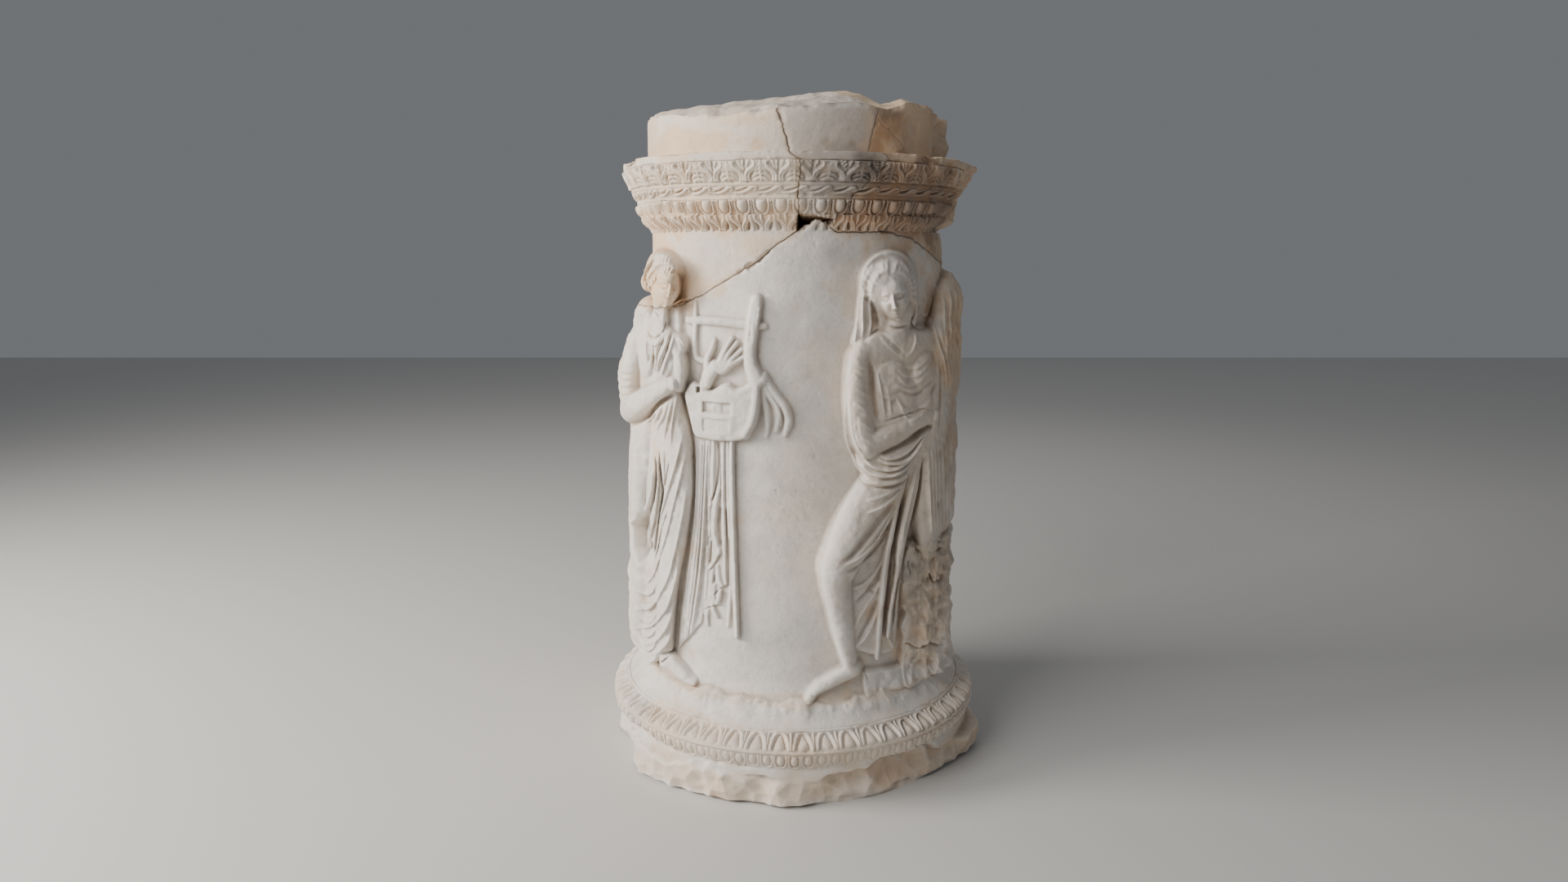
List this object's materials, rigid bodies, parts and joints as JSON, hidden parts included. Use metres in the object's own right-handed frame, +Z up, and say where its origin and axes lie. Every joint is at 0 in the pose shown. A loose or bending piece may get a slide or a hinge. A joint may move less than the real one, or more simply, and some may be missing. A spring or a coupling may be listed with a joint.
{
  "type": "round stone altar",
  "caption": "Round carved stone altar: rough plinth, moulded base, shaft with draped women in relief, carved cornice and rough top, broken across and put together again.",
  "frame": {"origin": "middle of the flat resting face, on the shaft's axis", "axes": "+Z up along the shaft's axis, the carved front looks along -Y, +X to the viewer's right"},
  "size_m": [0.6559, 0.657, 1.1218],
  "materials": {
    "drum_marble": "worn matt marble, white to cool grey, with pinkish cream mouldings",
    "cream_marble": "worn matt marble with a warm cream patina",
    "grey_marble": "worn matt marble, whitish above and dark grey below",
    "brown_marble": "worn matt marble with an orange brown patina"
  },
  "bodies": {
    "root": {"drum": "drum_marble", "left_fragment": "cream_marble", "middle_fragment": "grey_marble", "right_fragment": "brown_marble"}
  },
  "joints": []
}
